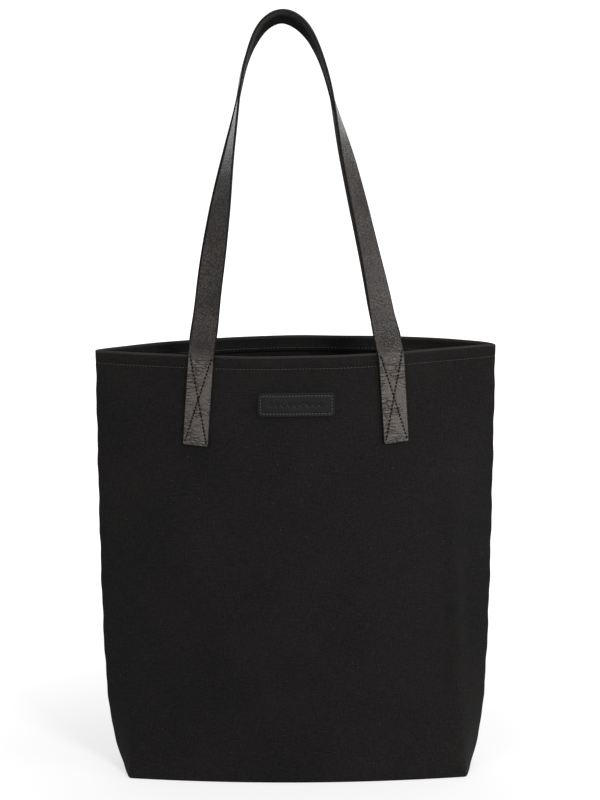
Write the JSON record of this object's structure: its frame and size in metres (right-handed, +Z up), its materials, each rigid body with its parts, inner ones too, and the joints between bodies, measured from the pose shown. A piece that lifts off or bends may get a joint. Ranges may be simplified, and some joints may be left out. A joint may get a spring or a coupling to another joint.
{
  "type": "tote bag",
  "caption": "Open-top canvas tote bag with a flat boxed base, leather shoulder handles sewn on with crosses and a small leather label.",
  "frame": {"origin": "centre of the flat base, on the surface the bag stands on", "axes": "+Z up through the mouth, +X to the bag's right-hand side seam seen from the front, -Y out of the front with the label"},
  "size_m": [0.3726, 0.0992, 0.7322],
  "materials": {
    "canvas": "heavy plain-woven cotton canvas, matt",
    "seam_tape": "woven binding tape",
    "strap_leather": "pebbled, softly glossy, with painted edges",
    "label_leather": "fine grain, satin, embossed",
    "thread": "waxed thick thread"
  },
  "bodies": {
    "bag": {"front_panel": "canvas", "back_panel": "canvas", "label_patch": "label_leather", "front_hem_thread": "thread", "back_hem_thread": "thread", "front_tab_thread_left": "thread", "front_tab_thread_right": "thread", "back_tab_thread_left": "thread", "back_tab_thread_right": "thread", "label_thread": "thread", "front_strap_tab_left": "strap_leather", "front_strap_tab_right": "strap_leather", "back_strap_tab_left": "strap_leather", "back_strap_tab_right": "strap_leather", "left_seam_binding": "seam_tape", "right_seam_binding": "seam_tape", "base_seam_binding": "seam_tape", "left_corner_binding": "seam_tape", "right_corner_binding": "seam_tape"},
    "front_handle": {"front_strap_loop": "strap_leather"},
    "back_handle": {"back_strap_loop": "strap_leather"}
  },
  "joints": [
    {"name": "front_handle_swing", "type": "hinge", "parent": "bag", "child": "front_handle", "pos_m": [0, -0.0383, 0.413], "axis": [1, 0, 0], "range_deg": [0, 170]},
    {"name": "back_handle_swing", "type": "hinge", "parent": "bag", "child": "back_handle", "pos_m": [0, 0.0383, 0.413], "axis": [-1, 0, 0], "range_deg": [0, 170]}
  ]
}
